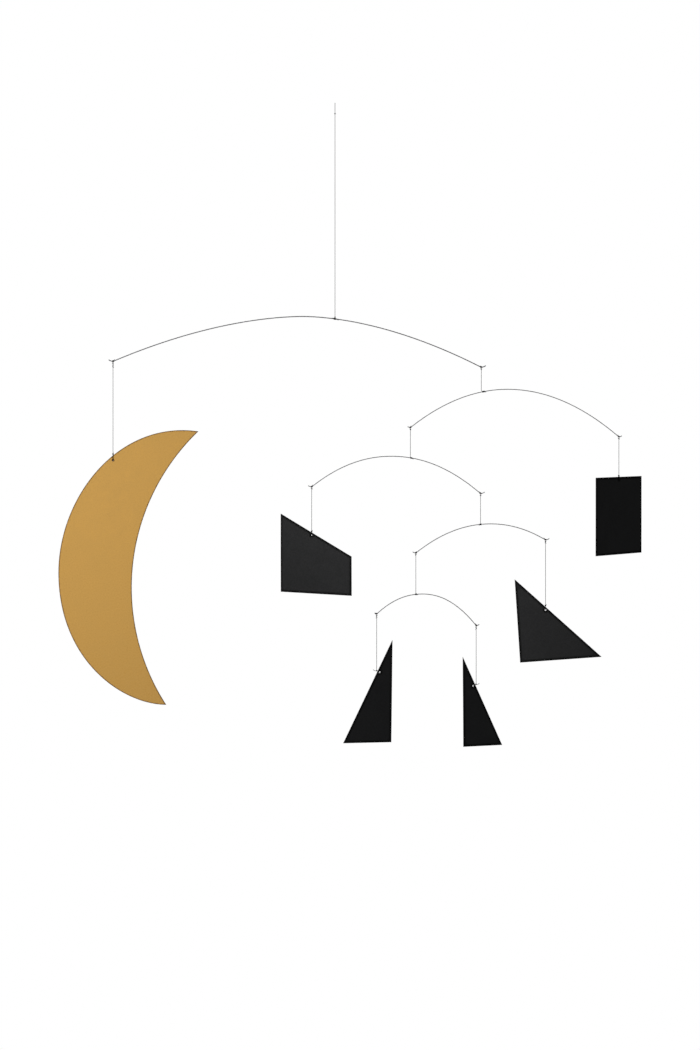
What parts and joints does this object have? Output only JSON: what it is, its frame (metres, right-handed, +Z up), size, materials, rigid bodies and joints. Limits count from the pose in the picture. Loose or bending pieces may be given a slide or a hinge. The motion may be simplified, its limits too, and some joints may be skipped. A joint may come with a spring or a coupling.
{
  "type": "hanging mobile sculpture",
  "caption": "Hanging balance mobile: tiered bent steel wires on threads carry a gold card crescent moon and black geometric cards.",
  "frame": {"origin": "inside of the bight of the top thread loop, where a hook carries the mobile", "axes": "+Z up along the hanging thread, +X to the viewer's right along the wires, +Y away from the viewer"},
  "size_m": [0.604, 0.0638, 0.6624],
  "materials": {
    "thread": "dark twisted polyester thread, matte",
    "steel_wire": "drawn spring steel wire, dull grey",
    "gold_card": "card faced in gold metallic paper, satin with a fine grain",
    "black_card": "solid black card, matte with a faint sheen"
  },
  "bodies": {
    "hanging_thread": {"hanging_thread": "thread"},
    "main_arm": {"main_arm": "steel_wire"},
    "moon": {"moon": "gold_card", "moon_thread": "thread"},
    "second_arm": {"second_arm": "steel_wire", "second_arm_thread": "thread"},
    "square_card": {"square_card": "black_card", "square_thread": "thread"},
    "third_arm": {"third_arm": "steel_wire", "third_arm_thread": "thread"},
    "trapezium_card": {"trapezium_card": "black_card", "trapezium_thread": "thread"},
    "fourth_arm": {"fourth_arm": "steel_wire", "fourth_arm_thread": "thread"},
    "triangle_card": {"triangle_card": "black_card", "triangle_thread": "thread"},
    "lowest_arm": {"lowest_arm": "steel_wire", "lowest_arm_thread": "thread"},
    "left_narrow_card": {"left_narrow_card": "black_card", "left_narrow_thread": "thread"},
    "right_narrow_card": {"right_narrow_card": "black_card", "right_narrow_thread": "thread"}
  },
  "joints": [
    {"name": "main_arm_swivel", "type": "hinge", "parent": "hanging_thread", "child": "main_arm", "pos_m": [0, 0, -0.2219], "axis": [0, 0, 1], "continuous": true},
    {"name": "moon_swivel", "type": "hinge", "parent": "main_arm", "child": "moon", "pos_m": [-0.2285, 0, -0.2655], "axis": [0, 0, 1], "continuous": true},
    {"name": "second_arm_swivel", "type": "hinge", "parent": "main_arm", "child": "second_arm", "pos_m": [0.1506, 0, -0.2716], "axis": [0, 0, 1], "continuous": true},
    {"name": "square_card_swivel", "type": "hinge", "parent": "second_arm", "child": "square_card", "pos_m": [0.2922, 0, -0.3433], "axis": [0, 0, 1], "continuous": true},
    {"name": "third_arm_swivel", "type": "hinge", "parent": "second_arm", "child": "third_arm", "pos_m": [0.0776, 0, -0.3337], "axis": [0, 0, 1], "continuous": true},
    {"name": "trapezium_card_swivel", "type": "hinge", "parent": "third_arm", "child": "trapezium_card", "pos_m": [-0.024, 0, -0.3947], "axis": [0, 0, 1], "continuous": true},
    {"name": "fourth_arm_swivel", "type": "hinge", "parent": "third_arm", "child": "fourth_arm", "pos_m": [0.1498, 0, -0.4016], "axis": [0, 0, 1], "continuous": true},
    {"name": "triangle_card_swivel", "type": "hinge", "parent": "fourth_arm", "child": "triangle_card", "pos_m": [0.2167, 0, -0.4493], "axis": [0, 0, 1], "continuous": true},
    {"name": "lowest_arm_swivel", "type": "hinge", "parent": "fourth_arm", "child": "lowest_arm", "pos_m": [0.0832, 0, -0.4628], "axis": [0, 0, 1], "continuous": true},
    {"name": "left_narrow_card_swivel", "type": "hinge", "parent": "lowest_arm", "child": "left_narrow_card", "pos_m": [0.0429, 0, -0.5256], "axis": [0, 0, 1], "continuous": true},
    {"name": "right_narrow_card_swivel", "type": "hinge", "parent": "lowest_arm", "child": "right_narrow_card", "pos_m": [0.1453, 0, -0.5375], "axis": [0, 0, 1], "continuous": true}
  ]
}
